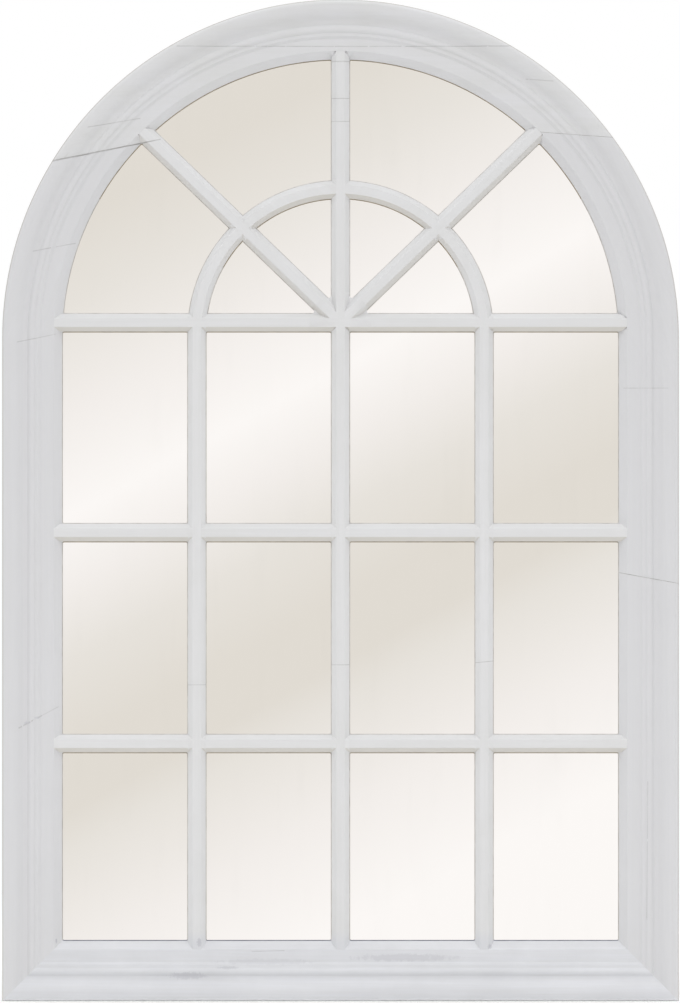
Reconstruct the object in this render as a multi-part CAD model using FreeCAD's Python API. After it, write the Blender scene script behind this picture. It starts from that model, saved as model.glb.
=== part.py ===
import FreeCAD, Part
import math
import os

# Arched window mirror: a moulded timber frame with a half-round head, a grille of
# glazing bars with a fanlight, one arched mirror sheet behind it, a back board and
# two swinging hanging rings.
# Millimetres. +X to the right, +Z up, the front faces -Y.
# A depth t is counted forward from the frame's back face, so the wall side is t < 0.
# An inset d is counted inward from the frame's outer edge.

# Overall outline
frame_width = 1000.0            # outer width, and twice the radius of the round head
springing_height = 980.0        # where the straight stiles end and the round head begins

# Frame moulding, insets from the outer edge and depths from the back face
frame_depth = 34.0              # crest of the moulding above the back face
outer_edge_height = 27.0        # flat outer side, below its round edge
crest_end = 10.0                # inset where the crest starts to fall
valley_inset = 37.0             # inset of the bottom of the hollow
valley_depth = 24.5
ogee_convex_radius = 27.0       # upper round of the ogee; the lower round takes the rest
bead_start = 37.5
bead_end = 49.0
bead_rise = 2.6
ledge_end = 53.5                # narrow ledge between the bead and the last step
band_start = 57.5               # flat band level with the glazing bars
band_end = 76.0
sight_inset = 88.0              # the opening's edge
bevel_foot = 2.5                # upright foot of the sight edge, in front of the glass

# Rebates in the back of the frame
board_rebate_width = 22.0       # beyond the sight edge
board_rebate_depth = 6.0
glass_rebate_width = 8.0        # beyond the sight edge
mirror_thickness = 4.0
mirror_clearance = 1.5          # between the mirror's edge and its rebate
board_thickness = 5.0
board_clearance = 1.0

# Glazing bars
bar_width = 26.0
bar_flat = 12.5                 # flat face at the front of a bar
bar_thickness = 12.0
bar_foot = 5.0                  # upright sides next to the glass, also the lap depth
bar_columns = 4                 # panes across the opening
lower_bar_height = 380.0
upper_bar_height = 692.0
transom_rise = 22.5             # transom centre above the springing
spoke_angle = 44.0              # of the slanting fan spokes, from level
ring_centre_drop = 15.5         # centre of the fan ring below the transom centre

# Joints between the boards of the frame
left_stile_joint = (405.0, 436.0)       # heights at the outer and the sight edge
right_stile_joint = (617.0, 633.0)
left_shoulder_joint = (-11.0, 7.5)      # above the springing, outer and sight edge
right_shoulder_joint = (-74.0, -74.0)
left_crown_joint = 148.4                # degrees on the outer circle; the joint runs in
right_crown_joint = 36.3                # to where the spoke meets the sight edge
joint_land = 1.0                        # how far inside the right spoke's edge it ends
cap_joint_drop = 69.0                   # level joint below the top of the head

# Dowels in those joints
dowel_radius = 4.0
dowel_length = 36.0
dowel_depth = 14.0
dowel_clearance = 0.05
dowel_places = (0.25, 0.55)             # shares of a joint's line, from the outer edge
cap_dowel_places = (0.41, 0.65)         # shares of the cap joint's half length

# Screws that hold the back board
board_screw_radius = 1.75
board_screw_length = 15.0
board_screw_head_radius = 3.5
board_screw_head_height = 2.0
board_screw_hole_clearance = 0.25
screw_clearance = 0.02                  # round the thread in the timber
stile_screw_first = 130.0               # height of the lowest screw in a stile
stile_screw_last = 860.0
stile_screw_count = 5
rail_screw_reach = 330.0                # outermost screws in the bottom rail
rail_screw_count = 5
head_screw_start = 12.0                 # degrees above level
head_screw_count = 8
cross_slot_width = 1.0
cross_slot_length = 4.0
cross_slot_depth = 1.1

# Hanging rings on strap plates
hanger_rise = 100.0                     # pivot above the springing
strap_width = 14.0
strap_thickness = 1.2
strap_length = 40.0                     # from the pivot to the round end
wire_radius = 1.5
knuckle_clearance = 0.05
knuckle_wall = 1.2
knuckle_gap = 0.35                      # between the knuckle and the frame
ring_bow_radius = 12.0                  # round end of the ring, on the wire's centre
ring_corner_radius = 3.0
ring_leg = 2.0
hanger_screw_radius = 1.75
hanger_screw_head_radius = 3.5
hanger_screw_head_depth = 1.9
hanger_screw_length = 18.0
hanger_screw_drops = (10.0, 29.0)       # below the pivot

# Bumpers that keep the back off the wall
bumper_radius = 10.0
bumper_height = 6.0
bumper_round = 1.5
bumper_inset = 33.0                     # centre from the outer edge
bumper_head_angle = 60.0                # degrees above level, on the round head

# Worked out from the sizes above
overall_depth = frame_depth + bumper_height
back_plane = overall_depth / 2 - bumper_height
outer_radius = frame_width / 2
overall_height = springing_height + outer_radius
sight_radius = outer_radius - sight_inset
glass_front = board_rebate_depth + mirror_thickness
band_depth = glass_front + bar_thickness
lap_depth = glass_front + bar_foot
outer_edge_round = frame_depth - outer_edge_height
half_bar = bar_width / 2
half_flat = bar_flat / 2
bar_pitch = (2 * sight_radius + bar_width) / bar_columns
transom_height = springing_height + transom_rise
ring_centre_height = transom_height - ring_centre_drop
cap_joint_height = overall_height - cap_joint_drop
board_screw_inset = sight_inset - (board_rebate_width + glass_rebate_width) / 2
margin = frame_width / 8                # how far cutting shapes run past the frame

hanger_height = springing_height + hanger_rise
hanger_x = (math.sqrt(outer_radius ** 2 - hanger_rise ** 2)
            + math.sqrt((sight_radius + board_rebate_width) ** 2 - hanger_rise ** 2)) / 2
knuckle_bore = wire_radius + knuckle_clearance
knuckle_radius = knuckle_bore + knuckle_wall
pivot_depth = -(knuckle_gap + knuckle_radius)

forward = FreeCAD.Vector(0, -1, 0)
across = FreeCAD.Vector(1, 0, 0)
upward = FreeCAD.Vector(0, 0, 1)
same_place = 1e-6                       # positions closer than this are one


def point(x, depth, z):
    return FreeCAD.Vector(x, back_plane - depth, z)


def on_circle(radius, degrees):
    angle = math.radians(degrees)
    return (radius * math.cos(angle), springing_height + radius * math.sin(angle))


def towards(start, end, distance):
    """The point this far along the way from start to end, in the front plane."""
    length = math.dist(start, end)
    share = distance / length
    return (start[0] + (end[0] - start[0]) * share, start[1] + (end[1] - start[1]) * share)


def between(start, end, share):
    return towards(start, end, math.dist(start, end) * share)


def cylinder(centre, direction, radius, length):
    return Part.makeCylinder(radius, length, centre, direction)


def prism(outline, low, high):
    """A block over a polygon of (x, z) corners, between two depths."""
    corners = [point(x, low, z) for x, z in outline]
    face = Part.Face(Part.makePolygon(corners + corners[:1]))
    return face.extrude(forward * (high - low))


def arched_block(inset, low, high):
    """A block with the frame's outline, drawn in by an inset, between two depths."""
    half = outer_radius - inset
    bottom_left = point(-half, low, inset)
    bottom_right = point(half, low, inset)
    right = point(half, low, springing_height)
    left = point(-half, low, springing_height)
    top = point(0, low, springing_height + half)
    edges = [
        Part.makeLine(bottom_left, bottom_right),
        Part.makeLine(bottom_right, right),
        Part.Arc(right, top, left).toShape(),
        Part.makeLine(left, bottom_left),
    ]
    return Part.Face(Part.Wire(edges)).extrude(forward * (high - low))


# ---- frame moulding ----

def arc_between(place, start, middle, end):
    return Part.Arc(place(*start), place(*middle), place(*end)).toShape()


def moulding_face(place):
    """The frame's section. place turns an inset and a depth into a point in space."""
    run = valley_inset - crest_end
    fall = frame_depth - valley_depth
    turn = 2 * math.atan2(fall, run)
    hollow_radius = run / math.sin(turn) - ogee_convex_radius
    corner = outer_edge_round * math.sqrt(0.5)

    def crown_point(angle):
        return (crest_end + ogee_convex_radius * math.sin(angle),
                frame_depth - ogee_convex_radius * (1 - math.cos(angle)))

    def hollow_point(angle):
        return (valley_inset - hollow_radius * math.sin(angle),
                valley_depth + hollow_radius * (1 - math.cos(angle)))

    round_start = (0, outer_edge_height)
    round_middle = (outer_edge_round - corner, outer_edge_height + corner)
    round_end = (outer_edge_round, frame_depth)
    crest = (crest_end, frame_depth)
    bead_top = ((bead_start + bead_end) / 2, valley_depth + bead_rise)
    after_bead = [
        (bead_end, valley_depth),
        (ledge_end, valley_depth),
        (band_start, band_depth),
        (band_end, band_depth),
        (sight_inset, glass_front + bevel_foot),
        (sight_inset, glass_front),
        (sight_inset - glass_rebate_width, glass_front),
        (sight_inset - glass_rebate_width, board_rebate_depth),
        (sight_inset - board_rebate_width, board_rebate_depth),
        (sight_inset - board_rebate_width, 0),
        (0, 0),
        round_start,
    ]
    edges = [
        arc_between(place, round_start, round_middle, round_end),
        Part.makeLine(place(*round_end), place(*crest)),
        arc_between(place, crest, crown_point(turn / 2), crown_point(turn)),
        arc_between(place, crown_point(turn), hollow_point(turn / 2), hollow_point(0)),
        Part.makeLine(place(*hollow_point(0)), place(bead_start, valley_depth)),
        arc_between(place, (bead_start, valley_depth), bead_top, after_bead[0]),
    ]
    for start, end in zip(after_bead, after_bead[1:]):
        edges.append(Part.makeLine(place(*start), place(*end)))
    return Part.Face(Part.Wire(edges))


def mitre_block():
    """The bottom rail's share of the frame, mitred at both ends."""
    outline = [
        (-outer_radius, 0),
        (outer_radius, 0),
        (sight_radius, sight_inset),
        (-sight_radius, sight_inset),
    ]
    return prism(outline, 0, frame_depth)


def moulded_rail():
    face = moulding_face(lambda inset, depth: point(-outer_radius, depth, inset))
    return face.extrude(across * frame_width).common(mitre_block())


def moulded_hoop():
    """Both stiles and the round head in one, before it is parted into boards."""
    left = moulding_face(lambda inset, depth: point(inset - outer_radius, depth, 0))
    right = moulding_face(lambda inset, depth: point(outer_radius - inset, depth, 0))
    head = moulding_face(lambda inset, depth: point(outer_radius - inset, depth, springing_height))
    rise = upward * springing_height
    arch = head.revolve(point(0, 0, springing_height), forward, 180)
    hoop = left.extrude(rise).fuse([arch, right.extrude(rise)]).removeSplitter()
    return hoop.cut(mitre_block())


# ---- joints between the frame's boards ----

def level_joint(side, heights):
    """A joint across a stile, as its outer and its sight-edge point."""
    return ((side * outer_radius, heights[0]), (side * sight_radius, heights[1]))


def shoulder_joint(side, rises):
    heights = [springing_height + rise for rise in rises]
    return level_joint(side, heights)


def spoke_corner(side, offset):
    """Where a line beside a slanting spoke's centre, on its upper side, meets the sight edge."""
    slope = math.radians(spoke_angle)
    start = (-math.sin(slope) * offset, transom_rise + math.cos(slope) * offset)
    run = start[0] * math.cos(slope) + start[1] * math.sin(slope)
    reach = math.sqrt(run ** 2 - start[0] ** 2 - start[1] ** 2 + sight_radius ** 2) - run
    return (side * (start[0] + reach * math.cos(slope)),
            springing_height + start[1] + reach * math.sin(slope))


def frame_joints():
    return {
        "left_mitre": ((-outer_radius, 0), (-sight_radius, sight_inset)),
        "right_mitre": ((outer_radius, 0), (sight_radius, sight_inset)),
        "left_stile": level_joint(-1, left_stile_joint),
        "right_stile": level_joint(1, right_stile_joint),
        "left_shoulder": shoulder_joint(-1, left_shoulder_joint),
        "right_shoulder": shoulder_joint(1, right_shoulder_joint),
        "left_crown": (on_circle(outer_radius, left_crown_joint),
                       spoke_corner(-1, -half_bar)),
        "right_crown": (on_circle(outer_radius, right_crown_joint),
                        spoke_corner(1, half_bar - joint_land)),
    }


def long_joint(joint):
    """The same joint with both ends run on past the frame."""
    outer, inner = joint
    length = math.dist(outer, inner)
    return towards(inner, outer, length + margin), towards(outer, inner, length + margin / 2)


def board_region(first, second, beyond=()):
    """The part of the front plane between two joints, with extra outer corners."""
    first_outer, first_inner = long_joint(first)
    second_outer, second_inner = long_joint(second)
    outline = [first_outer, first_inner, second_inner, second_outer, *beyond]
    return prism(outline, 0, frame_depth)


def foot_joint(side):
    """A level line under a stile, for the board that ends at the mitre."""
    return ((side * outer_radius, -margin), (side * sight_radius, -margin))


def cap_region():
    reach = frame_width
    top = overall_height + margin
    outline = [
        (-reach, cap_joint_height),
        (reach, cap_joint_height),
        (reach, top),
        (-reach, top),
    ]
    return prism(outline, 0, frame_depth)


def crown_region(joints):
    reach = frame_width
    corners = ((reach, cap_joint_height), (-reach, cap_joint_height))
    return board_region(joints["left_crown"], joints["right_crown"], corners)


def dowel(centre, direction, length, radius):
    """A dowel centred on a point (x, z) of a joint, along a unit direction (x, z)."""
    axis = FreeCAD.Vector(direction[0], 0, direction[1])
    start = point(centre[0], dowel_depth, centre[1]) - axis * (length / 2)
    return cylinder(start, axis, radius, length)


def dowel_seats(joints):
    """Where each dowel lies: its centre on the joint and its direction across it."""
    seats = []
    for outer, inner in joints.values():
        length = math.dist(outer, inner)
        along = ((inner[0] - outer[0]) / length, (inner[1] - outer[1]) / length)
        direction = (-along[1], along[0])
        for share in dowel_places:
            seats.append((between(outer, inner, share), direction))
    half_length = math.sqrt(outer_radius ** 2 - (cap_joint_height - springing_height) ** 2)
    for share in cap_dowel_places:
        for side in (-1, 1):
            seats.append(((side * share * half_length, cap_joint_height), (0, 1)))
    return seats


def dowels(joints, radius, length):
    return [dowel(centre, direction, length, radius) for centre, direction in dowel_seats(joints)]


# ---- glazing bars ----

def bar_section(place):
    """A bar's section. place turns a sideways offset and a depth into a point."""
    outline = [
        (-half_bar, glass_front),
        (half_bar, glass_front),
        (half_bar, lap_depth),
        (half_flat, band_depth),
        (-half_flat, band_depth),
        (-half_bar, lap_depth),
    ]
    corners = [place(offset, depth) for offset, depth in outline]
    return Part.Face(Part.makePolygon(corners + corners[:1]))


def straight_bar(start, end):
    """A bar whose centre line runs between two points (x, z)."""
    length = math.dist(start, end)
    along = ((end[0] - start[0]) / length, (end[1] - start[1]) / length)

    def place(offset, depth):
        return point(start[0] - along[1] * offset, depth, start[1] + along[0] * offset)

    return bar_section(place).extrude(FreeCAD.Vector(along[0], 0, along[1]) * length)


def level_bar(height):
    bar = straight_bar((-outer_radius, height), (outer_radius, height))
    return bar.common(arched_block(band_end, glass_front, band_depth))


def upright_bar(column):
    """A bar from the bottom rail's band up to the flat of the transom."""
    x = (column - bar_columns / 2) * bar_pitch
    return straight_bar((x, band_end), (x, transom_height - half_flat))


def above_transom():
    low = transom_height + half_flat
    high = overall_height
    return prism([(-outer_radius, low), (outer_radius, low), (outer_radius, high),
                  (-outer_radius, high)], glass_front, band_depth)


def spoke(angle):
    """A fan spoke from the flat of the transom out to the frame's band."""
    hub = (0, transom_height)
    slope = math.radians(angle)
    tip = (outer_radius * math.cos(slope), transom_height + outer_radius * math.sin(slope))
    bar = straight_bar(hub, tip)
    return bar.common(arched_block(band_end, glass_front, band_depth)).common(above_transom())


def beside_line(origin, angle, offset, side):
    """All on one side of a line through origin, moved sideways by an offset."""
    slope = math.radians(angle)
    along = (math.cos(slope), math.sin(slope))
    across_line = (-along[1] * side, along[0] * side)
    reach = 2 * frame_width
    base = (origin[0] + across_line[0] * offset, origin[1] + across_line[1] * offset)
    outline = [
        (base[0] - along[0] * reach, base[1] - along[1] * reach),
        (base[0] + along[0] * reach, base[1] + along[1] * reach),
    ]
    for x, z in reversed(outline[:]):
        outline.append((x + across_line[0] * reach, z + across_line[1] * reach))
    return prism(outline, glass_front, band_depth)


def fan_ring():
    """The half-round ring of the fanlight, before it is parted by the spokes."""
    centre = point(0, 0, ring_centre_height)
    section = bar_section(lambda offset, depth: point(bar_pitch + offset, depth, ring_centre_height))
    return section.revolve(centre, forward, 180).common(above_transom())


def fan_ring_pieces():
    """The ring's four lengths, each from the flat of one bar to the flat of the next."""
    ring = fan_ring()
    hub = (0, transom_height)
    angles = [180 - spoke_angle, 90, spoke_angle]
    pieces = []
    for number in range(len(angles) + 1):
        length = ring
        if number > 0:
            length = length.common(beside_line(hub, angles[number - 1], half_flat, -1))
        if number < len(angles):
            length = length.common(beside_line(hub, angles[number], half_flat, 1))
        pieces.append(length)
    return pieces


def fan_spokes():
    """The slanting spokes stop at the flat of the upright one, which they notch."""
    hub = (0, transom_height)
    left = spoke(180 - spoke_angle).common(beside_line(hub, 90, half_flat, 1))
    right = spoke(spoke_angle).common(beside_line(hub, 90, half_flat, -1))
    centre = spoke(90).cut([left, right])
    return {"left": left, "centre": centre, "right": right}


def grille():
    """Every glazing bar as its own solid: halved at the crossings, notched elsewhere."""
    bars = {}
    ring_pieces = fan_ring_pieces()
    for number, piece in enumerate(ring_pieces, start=1):
        bars[f"fan_ring_{number}"] = piece
    spokes = fan_spokes()
    for name, shape in spokes.items():
        bars[f"fan_spoke_{name}"] = shape.cut(ring_pieces)

    level = {"mid_bar_lower": level_bar(lower_bar_height),
             "mid_bar_upper": level_bar(upper_bar_height)}
    back_half = arched_block(0, glass_front, lap_depth)
    housings = [bar.common(back_half) for bar in level.values()]
    uprights = []
    for column, name in enumerate(("left", "centre", "right"), start=1):
        upright = upright_bar(column).cut(housings)
        uprights.append(upright)
        bars[f"vertical_bar_{name}"] = upright
    for name, bar in level.items():
        bars[name] = bar.cut(uprights)
    bars["transom_bar"] = level_bar(transom_height).cut(
        uprights + list(spokes.values()) + ring_pieces)
    return bars


# ---- mirror and back board ----

def mirror_sheet():
    inset = sight_inset - glass_rebate_width + mirror_clearance
    return arched_block(inset, board_rebate_depth, glass_front)


def back_board(screw_points):
    inset = sight_inset - board_rebate_width + board_clearance
    low = board_rebate_depth - board_thickness
    board = arched_block(inset, low, board_rebate_depth)
    radius = board_screw_radius + board_screw_hole_clearance
    holes = [cylinder(point(x, low, z), forward, radius, board_thickness) for x, z in screw_points]
    return board.cut(holes)


def rim_at(body, depth):
    """The round edge of a cylinder's end face at this depth."""
    height = point(0, depth, 0).y
    return [edge for edge in body.Edges
            if edge.Closed and abs(edge.CenterOfMass.y - height) < same_place][:1]


def evenly(first, last, count):
    step = (last - first) / (count - 1)
    return [first + step * number for number in range(count)]


def board_screw_points():
    """Centres of the screws round the rebate, as (x, z)."""
    half = outer_radius - board_screw_inset
    points = [(x, board_screw_inset) for x in evenly(-rail_screw_reach, rail_screw_reach,
                                                     rail_screw_count)]
    for z in evenly(stile_screw_first, stile_screw_last, stile_screw_count):
        points.extend([(-half, z), (half, z)])
    for angle in evenly(head_screw_start, 180 - head_screw_start, head_screw_count):
        points.append(on_circle(half, angle))
    return points


def cross_slot(x, face_depth, z):
    """The cross cut into a screw's head from its outer face."""
    arms = []
    for size_x, size_z in ((cross_slot_length, cross_slot_width),
                           (cross_slot_width, cross_slot_length)):
        corner = point(x - size_x / 2, face_depth + cross_slot_depth, z - size_z / 2)
        arms.append(Part.makeBox(size_x, cross_slot_depth, size_z, corner))
    return arms


def board_screw(x, z):
    """A pan-head screw through the board."""
    seat = board_rebate_depth - board_thickness
    face = seat - board_screw_head_height
    shank = cylinder(point(x, seat, z), forward, board_screw_radius, board_screw_length)
    head = cylinder(point(x, face, z), forward, board_screw_head_radius, board_screw_head_height)
    head = head.makeFillet(board_screw_head_height / 2, rim_at(head, face))
    return head.fuse(shank).removeSplitter().cut(cross_slot(x, face, z))


def board_screw_hole(x, z):
    seat = board_rebate_depth - board_thickness
    return cylinder(point(x, seat, z), forward, board_screw_radius + screw_clearance,
                    board_screw_length + screw_clearance)


# ---- hanging rings ----

def strap_plate(side):
    """A strap with a rolled knuckle at its top and a round lower end."""
    x = side * hanger_x
    half = strap_width / 2
    end_height = hanger_height - strap_length + half
    top = hanger_height + knuckle_radius / 2
    flat = Part.makeBox(strap_width, strap_thickness, top - end_height,
                        point(x - half, 0, end_height))
    tongue = cylinder(point(x, -strap_thickness, end_height), forward, half, strap_thickness)
    start = point(x - half, pivot_depth, hanger_height)
    knuckle = cylinder(start, across, knuckle_radius, strap_width)
    bore = cylinder(start, across, knuckle_bore, strap_width)
    return flat.fuse([tongue, knuckle]).removeSplitter().cut(bore)


def bent_wire(centre, start_angle, sweep, radius):
    """A stretch of round wire bent in the ring's plane about a centre (x, z)."""
    angle = math.radians(start_angle)
    start = point(centre[0] + radius * math.cos(angle), pivot_depth,
                  centre[1] + radius * math.sin(angle))
    tangent = FreeCAD.Vector(-math.sin(angle), 0, math.cos(angle))
    section = Part.Face(Part.Wire(Part.makeCircle(wire_radius, start, tangent)))
    return section.revolve(point(centre[0], pivot_depth, centre[1]), forward, sweep)


def hanging_ring(side):
    """A D-shaped wire ring that hangs from the knuckle by its straight bar."""
    x = side * hanger_x
    half_bar_length = ring_bow_radius - ring_corner_radius
    corner_height = hanger_height - ring_corner_radius
    bow_height = corner_height - ring_leg
    pieces = [cylinder(point(x - half_bar_length, pivot_depth, hanger_height), across,
                       wire_radius, 2 * half_bar_length)]
    pieces.append(bent_wire((x + half_bar_length, corner_height), 0, 90, ring_corner_radius))
    pieces.append(bent_wire((x - half_bar_length, corner_height), 90, 90, ring_corner_radius))
    for end in (-1, 1):
        foot = point(x + end * ring_bow_radius, pivot_depth, bow_height)
        pieces.append(cylinder(foot, upward, wire_radius, ring_leg))
    pieces.append(bent_wire((x, bow_height), 180, 180, ring_bow_radius))
    return pieces[0].fuse(pieces[1:]).removeSplitter()


def hanger_screw(x, z):
    """A countersunk screw, flush with the strap's outer face."""
    face = -strap_thickness
    head = Part.makeCone(hanger_screw_head_radius, hanger_screw_radius,
                         hanger_screw_head_depth, point(x, face, z), forward)
    shank = cylinder(point(x, face + hanger_screw_head_depth, z), forward,
                     hanger_screw_radius, hanger_screw_length - hanger_screw_head_depth)
    return head.fuse(shank).removeSplitter()


def hanger_screw_points():
    return [(side * hanger_x, hanger_height - drop)
            for side in (-1, 1) for drop in hanger_screw_drops]


# ---- bumpers ----

def bumper(x, z):
    body = cylinder(point(x, -bumper_height, z), forward, bumper_radius, bumper_height)
    return body.makeFillet(bumper_round, rim_at(body, -bumper_height))


def bumper_points():
    reach = outer_radius - bumper_inset
    head = [on_circle(reach, angle) for angle in (bumper_head_angle, 180 - bumper_head_angle)]
    return head + [(-reach, bumper_inset), (reach, bumper_inset)]


# ---- whole mirror ----

def frame_boards(joints):
    hoop = moulded_hoop()
    left, right = -1, 1
    regions = {
        "left_stile_lower": board_region(foot_joint(left), joints["left_stile"]),
        "left_stile_upper": board_region(joints["left_stile"], joints["left_shoulder"]),
        "left_haunch": board_region(joints["left_shoulder"], joints["left_crown"]),
        "crown": crown_region(joints),
        "crown_cap": cap_region(),
        "right_haunch": board_region(joints["right_crown"], joints["right_shoulder"]),
        "right_stile_upper": board_region(joints["right_shoulder"], joints["right_stile"]),
        "right_stile_lower": board_region(joints["right_stile"], foot_joint(right)),
    }
    boards = {"bottom_rail": moulded_rail()}
    for name, region in regions.items():
        boards[name] = hoop.common(region)
    return boards


def build():
    joints = frame_joints()
    bars = grille()
    boards = frame_boards(joints)
    # The crown board holds the end of the left spoke, which is scarfed to it.
    scarf = crown_region(joints)
    spoke_end = bars["fan_spoke_left"].common(scarf)
    bars["fan_spoke_left"] = bars["fan_spoke_left"].cut(scarf)
    boards["crown"] = boards["crown"].fuse(spoke_end).removeSplitter()

    screw_points = board_screw_points()
    strap_screws = [hanger_screw(x, z) for x, z in hanger_screw_points()]

    cuts = list(bars.values())
    cuts += dowels(joints, dowel_radius + dowel_clearance, dowel_length + 2 * dowel_clearance)
    cuts += [board_screw_hole(x, z) for x, z in screw_points]
    cuts += strap_screws

    parts = {}
    for name, board in boards.items():
        near = [cut for cut in cuts if cut.BoundBox.intersect(board.BoundBox)]
        parts[name] = board.cut(near)
    parts.update(bars)
    parts["mirror_sheet"] = mirror_sheet()
    parts["back_board"] = back_board(screw_points)
    parts["back_board_screws"] = Part.makeCompound([board_screw(x, z) for x, z in screw_points])
    for side, name in ((-1, "left"), (1, "right")):
        parts[f"hanger_strap_{name}"] = strap_plate(side).cut(strap_screws)
        parts[f"hanger_ring_{name}"] = hanging_ring(side)
    slots = []
    for x, z in hanger_screw_points():
        slots += cross_slot(x, -strap_thickness, z)
    parts["hanger_screws"] = Part.makeCompound([screw.cut(slots) for screw in strap_screws])
    parts["wall_bumpers"] = Part.makeCompound([bumper(x, z) for x, z in bumper_points()])
    parts["frame_dowels"] = Part.makeCompound(dowels(joints, dowel_radius, dowel_length))
    return parts


os.makedirs("parts", exist_ok=True)
for node, shape in build().items():
    shape.exportStep(f"parts/{node}.step")
    print(node, len(shape.Solids), round(shape.Volume, 1), shape.isValid())
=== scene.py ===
import bpy
import math
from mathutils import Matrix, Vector


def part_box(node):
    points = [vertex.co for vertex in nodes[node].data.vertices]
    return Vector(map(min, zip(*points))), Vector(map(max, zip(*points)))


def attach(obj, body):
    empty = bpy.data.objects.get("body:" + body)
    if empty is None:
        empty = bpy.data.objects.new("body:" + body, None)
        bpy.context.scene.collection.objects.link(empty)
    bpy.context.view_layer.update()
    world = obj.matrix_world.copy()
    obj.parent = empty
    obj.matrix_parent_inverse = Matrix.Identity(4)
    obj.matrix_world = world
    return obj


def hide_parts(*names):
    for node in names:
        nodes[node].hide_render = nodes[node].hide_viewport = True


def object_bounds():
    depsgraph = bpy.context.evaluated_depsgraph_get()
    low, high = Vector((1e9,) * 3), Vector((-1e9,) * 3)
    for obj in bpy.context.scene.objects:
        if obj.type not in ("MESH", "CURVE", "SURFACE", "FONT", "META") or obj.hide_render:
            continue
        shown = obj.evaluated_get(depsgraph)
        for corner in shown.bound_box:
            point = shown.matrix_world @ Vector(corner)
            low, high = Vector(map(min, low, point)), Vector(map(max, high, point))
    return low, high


# Arched window mirror. Metres, +X right, +Z up, the front faces -Y.
# A depth is counted forward from the back of the frame, an inset inward from its edge.

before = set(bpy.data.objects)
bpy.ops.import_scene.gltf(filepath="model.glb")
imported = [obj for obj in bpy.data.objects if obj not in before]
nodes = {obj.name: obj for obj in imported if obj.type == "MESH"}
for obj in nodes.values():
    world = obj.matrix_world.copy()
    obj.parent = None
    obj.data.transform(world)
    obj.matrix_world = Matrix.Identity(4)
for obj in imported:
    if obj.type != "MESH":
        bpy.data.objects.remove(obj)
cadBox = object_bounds()
scene = bpy.context.scene
body = "mirror_frame"

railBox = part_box("bottom_rail")
halfWidth = railBox[1].x
backPlane = railBox[1].y
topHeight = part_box("crown_cap")[1].z
springing = topHeight - halfWidth
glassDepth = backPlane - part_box("mirror_sheet")[0].y
print("frame loaded:", len(nodes), "nodes")


# The photograph's pixels, which place the camera and the marks on the paint
photo = {
    "wide": 680,
    "high": 1003,
    "objectWide": 677.0,
    "axis": 340.5,            # the frame's middle
    "base": 1001.2,           # its bottom edge
}
metresPerPixel = 2 * halfWidth / photo["objectWide"]


def fromPixel(x, y):
    return (x - photo["axis"]) * metresPerPixel, (photo["base"] - y) * metresPerPixel


camera = {"distance": 14.0, "sensor": 36.0}


def addCamera():
    viewHeight = photo["high"] * metresPerPixel
    data = bpy.data.cameras.new("frontCamera")
    data.sensor_width = camera["sensor"]
    data.lens = camera["sensor"] * camera["distance"] / viewHeight
    data.clip_end = 100
    holder = bpy.data.objects.new("frontCamera", data)
    scene.collection.objects.link(holder)
    x, z = fromPixel(photo["wide"] / 2, photo["high"] / 2)
    holder.location = (x, cadBox[0].y - camera["distance"], z)
    holder.rotation_euler = (math.radians(90), 0, 0)
    scene.camera = holder


addCamera()
print("camera set")


# Shader nodes

def fromSrgb(*levels):
    shares = [level / 255 for level in levels]
    return tuple(c / 12.92 if c <= 0.04045 else ((c + 0.055) / 1.055) ** 2.4 for c in shares)


def colour(*levels):
    return (*fromSrgb(*levels), 1)


def feed(tree, socket, value):
    if isinstance(value, bpy.types.NodeSocket):
        tree.links.new(value, socket)
    else:
        socket.default_value = value


def addNode(tree, kind, inputs=None, **settings):
    node = tree.nodes.new("ShaderNode" + kind)
    for name, value in settings.items():
        setattr(node, name, value)
    for key, value in (inputs or {}).items():
        feed(tree, node.inputs[key], value)
    return node


def calculate(tree, operation, *values, clamp=False):
    node = addNode(tree, "Math", operation=operation, use_clamp=clamp)
    for socket, value in zip(node.inputs, values):
        feed(tree, socket, value)
    return node.outputs[0]


def blendColours(tree, share, first, second):
    node = addNode(tree, "Mix", data_type="RGBA")
    feed(tree, node.inputs[0], share)
    feed(tree, node.inputs[6], first)
    feed(tree, node.inputs[7], second)
    return node.outputs[2]


def remap(tree, value, low, high, start=0.0, end=1.0, kind="LINEAR"):
    inputs = {"Value": value, "From Min": low, "From Max": high, "To Min": start, "To Max": end}
    return addNode(tree, "MapRange", inputs, interpolation_type=kind).outputs["Result"]


def noise(tree, vector, scale, detail=2.0, rough=0.5):
    inputs = {"Vector": vector, "Scale": scale, "Detail": detail, "Roughness": rough}
    return addNode(tree, "TexNoise", inputs).outputs["Fac"]


def stretched(tree, vector, scale, turn=(0, 0, 0)):
    inputs = {"Vector": vector, "Scale": scale, "Rotation": [math.radians(a) for a in turn]}
    return addNode(tree, "Mapping", inputs).outputs["Vector"]


def objectPlace(tree):
    return addNode(tree, "TexCoord").outputs["Object"]


def newMaterial(name):
    material = bpy.data.materials.new(name)
    material.use_nodes = True
    tree = material.node_tree
    tree.nodes.clear()
    shader = addNode(tree, "BsdfPrincipled")
    output = addNode(tree, "OutputMaterial")
    tree.links.new(shader.outputs["BSDF"], output.inputs["Surface"])
    return material, tree, shader


def addBump(tree, shader, height, distance, strength=1.0):
    inputs = {"Height": height, "Distance": distance, "Strength": strength}
    feed(tree, shader.inputs["Normal"], addNode(tree, "Bump", inputs).outputs["Normal"])


socketKinds = {"value": "NodeSocketFloat", "vector": "NodeSocketVector", "colour": "NodeSocketColor"}


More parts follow.
